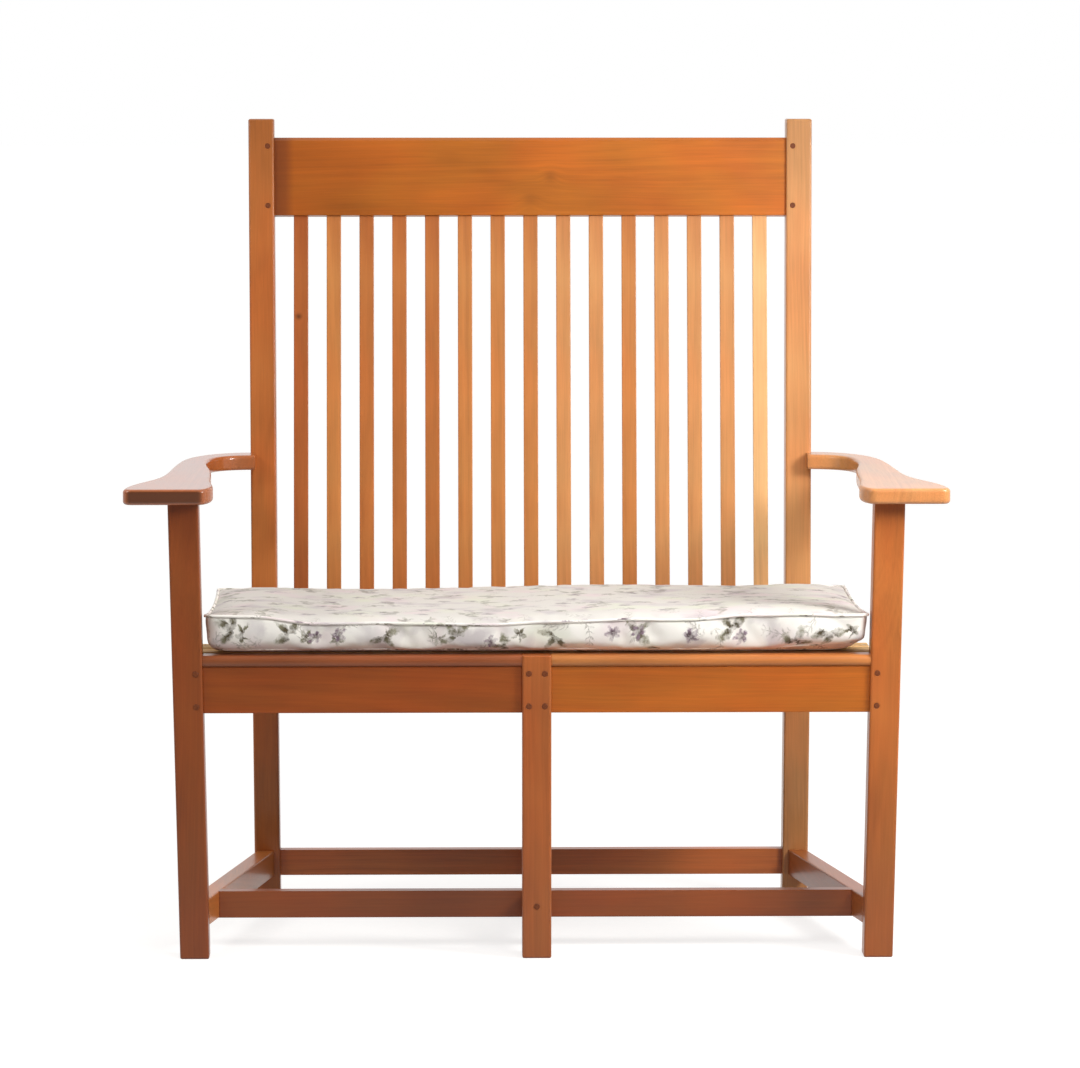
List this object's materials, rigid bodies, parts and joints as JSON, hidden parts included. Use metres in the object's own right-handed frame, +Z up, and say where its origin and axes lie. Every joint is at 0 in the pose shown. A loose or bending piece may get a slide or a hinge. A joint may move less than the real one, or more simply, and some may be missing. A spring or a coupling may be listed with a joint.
{
  "type": "mission settle",
  "caption": "High-back slatted wooden settle with broad serpentine arms, a centre front leg, low stretchers and a loose box cushion on a slatted deck.",
  "frame": {"origin": "on the floor, under the middle of the bounding box", "axes": "+Z up, front towards -Y, +X to the right as seen from the front"},
  "size_m": [1.1526, 0.6541, 1.1695],
  "materials": {
    "stained_wood": "satin",
    "raw_wood": "matte",
    "peg_wood": "satin",
    "cushion_fabric": "matte",
    "cushion_foam": "matte",
    "screw_steel": "satin"
  },
  "bodies": {
    "frame": {"arm_left": "stained_wood", "arm_right": "stained_wood", "back_post_left": "stained_wood", "back_post_right": "stained_wood", "back_seat_rail": "stained_wood", "back_slat_01": "stained_wood", "back_slat_02": "stained_wood", "back_slat_03": "stained_wood", "back_slat_04": "stained_wood", "back_slat_05": "stained_wood", "back_slat_06": "stained_wood", "back_slat_07": "stained_wood", "back_slat_08": "stained_wood", "back_slat_09": "stained_wood", "back_slat_10": "stained_wood", "back_slat_11": "stained_wood", "back_slat_12": "stained_wood", "back_slat_13": "stained_wood", "back_slat_14": "stained_wood", "back_slat_15": "stained_wood", "back_stretcher": "stained_wood", "centre_bearer": "raw_wood", "centre_leg": "stained_wood", "centre_stretcher": "stained_wood", "crest_rail": "stained_wood", "crest_rail_pegs": "peg_wood", "deck_board_1": "raw_wood", "deck_board_2": "raw_wood", "deck_board_3": "raw_wood", "deck_board_4": "raw_wood", "deck_board_5": "raw_wood", "deck_board_6": "raw_wood", "deck_board_7": "raw_wood", "deck_screws": "screw_steel", "front_leg_left": "stained_wood", "front_leg_right": "stained_wood", "front_seat_rail_left": "stained_wood", "front_seat_rail_right": "stained_wood", "front_stretcher": "stained_wood", "seat_edge_strip_left": "stained_wood", "seat_edge_strip_right": "stained_wood", "seat_rail_pegs": "peg_wood", "side_seat_rail_left": "stained_wood", "side_seat_rail_right": "stained_wood", "side_stretcher_left": "stained_wood", "side_stretcher_right": "stained_wood", "stretcher_plug": "peg_wood", "stretcher_screw": "screw_steel"},
    "cushion": {"cushion_cover": "cushion_fabric", "cushion_core": "cushion_foam"}
  },
  "joints": [
    {"name": "cushion_lift", "type": "slide", "parent": "frame", "child": "cushion", "axis": [0, 0, 1], "range_m": [0, 0.12]}
  ]
}
